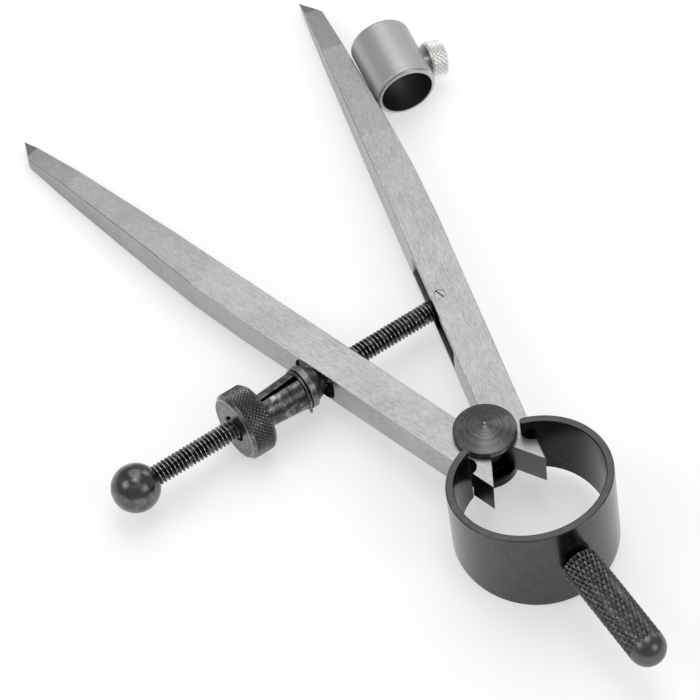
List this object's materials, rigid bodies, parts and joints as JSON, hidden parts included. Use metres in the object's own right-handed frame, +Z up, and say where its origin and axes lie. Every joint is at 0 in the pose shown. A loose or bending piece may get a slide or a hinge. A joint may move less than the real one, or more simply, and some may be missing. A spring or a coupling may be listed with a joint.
{
  "type": "spring divider",
  "caption": "Bow-spring divider with sharp flat legs, quick-release split nut on its adjusting screw, and a loose pencil-holder ring with thumb screw.",
  "frame": {"origin": "centre of the part's bounding box in plan, on the surface that it lies on", "axes": "+Y from the handle towards the points, +Z up from the surface, +X from the adjusting screw's ball towards the pencil holder"},
  "size_m": [0.1377, 0.2164, 0.0271],
  "materials": {
    "leg_steel": "bare hardened tool steel, surface ground to a fine satin grain",
    "stud_black": "turned steel, black oxide, glossy with fine lathe rings",
    "bow_black": "rolled spring steel, black oxide, semi-gloss",
    "handle_black": "steel, fine diamond knurl and a polished domed end, black oxide",
    "screw_black": "cut thread, black oxide with a trace of oil",
    "ball_black": "turned and polished steel, glossy black oxide",
    "cup_black": "turned steel, black oxide, satin",
    "nut_black": "diamond-knurled rim and turned faces, black oxide, semi-gloss",
    "jaw_black": "turned and sawn steel, black oxide, satin",
    "wire_steel": "drawn spring wire, darkened",
    "pin_steel": "ground flush with the leg, bare",
    "holder_steel": "turned tube, satin, bare",
    "thumb_nickel": "bright nickel plate over a diamond-knurled head"
  },
  "bodies": {
    "frame": {"bow_spring": "bow_black", "handle": "handle_black", "fulcrum_stud": "stud_black"},
    "leg_right": {"leg_right": "leg_steel", "screw_pivot_pin": "pin_steel"},
    "screw": {"adjusting_screw": "screw_black", "screw_ball": "ball_black"},
    "leg_left": {"leg_left": "leg_steel"},
    "seat_cup": {"seat_cup": "cup_black"},
    "nut_ring": {"nut_spring_ring": "wire_steel"},
    "nut_collar": {"nut_collar": "nut_black"},
    "nut_jaw_point_side": {"nut_jaw_point_side": "jaw_black"},
    "nut_jaw_bow_side": {"nut_jaw_bow_side": "jaw_black"},
    "pencil_ring": {"pencil_ring": "holder_steel"},
    "thumb_screw": {"thumb_screw": "thumb_nickel"}
  },
  "joints": [
    {"name": "leg_right_open", "type": "hinge", "parent": "frame", "child": "leg_right", "pos_m": [0.00957, -0.03601, 0.01129], "axis": [0.0042, -0.0679, -0.9977], "range_deg": [-15.4, 11.8], "deforming": ["bow_spring"]},
    {"name": "leg_left_open", "type": "hinge", "parent": "frame", "child": "leg_left", "pos_m": [0.00957, -0.03601, 0.01129], "axis": [-0.0042, 0.0679, 0.9977], "range_deg": [-15.4, 11.8]},
    {"name": "screw_swing", "type": "hinge", "parent": "leg_right", "child": "screw", "pos_m": [0.02407, 0.00483, 0.00858], "axis": [-0.0042, 0.0679, 0.9977], "range_deg": [-15.4, 11.8]},
    {"name": "cup_swing", "type": "hinge", "parent": "leg_left", "child": "seat_cup", "pos_m": [-0.00938, 0.00297, 0.00856], "axis": [0.0042, -0.0679, -0.9977], "range_deg": [-15.4, 11.8]},
    {"name": "nut_release", "type": "slide", "parent": "seat_cup", "child": "nut_ring", "axis": [-0.9984, -0.0557, -0.0004], "range_m": [0, 0.004], "deforming": ["nut_spring_ring"]},
    {"name": "nut_turn", "type": "hinge", "parent": "nut_ring", "child": "nut_collar", "pos_m": [-0.03213, 0.0017, 0.00855], "axis": [-0.9984, -0.0557, -0.0004], "continuous": true},
    {"name": "jaw_point_open", "type": "hinge", "parent": "nut_collar", "child": "nut_jaw_point_side", "pos_m": [-0.03001, 0.00501, 0.00833], "axis": [-0.0042, 0.0679, 0.9977], "range_deg": [0, 4]},
    {"name": "jaw_bow_open", "type": "hinge", "parent": "nut_collar", "child": "nut_jaw_bow_side", "pos_m": [-0.02966, -0.00136, 0.00877], "axis": [0.0042, -0.0679, -0.9977], "range_deg": [0, 4]},
    {"name": "holder_lift", "type": "slide", "parent": "leg_right", "child": "pencil_ring", "axis": [0, 0, 1], "range_m": [0, 0.05]},
    {"name": "thumb_turn", "type": "hinge", "parent": "pencil_ring", "child": "thumb_screw", "pos_m": [0.06349, 0.07097, 0.00662], "axis": [0.9737, -0.1805, -0.1392], "continuous": true}
  ],
  "couplings": [
    {"joint": "leg_left_open", "follows": "leg_right_open", "ratio": 1},
    {"joint": "screw_swing", "follows": "leg_right_open", "ratio": 1},
    {"joint": "cup_swing", "follows": "leg_right_open", "ratio": 1},
    {"joint": "jaw_point_open", "follows": "nut_release", "rad_per_m": 17.45},
    {"joint": "jaw_bow_open", "follows": "nut_release", "rad_per_m": 17.45}
  ]
}
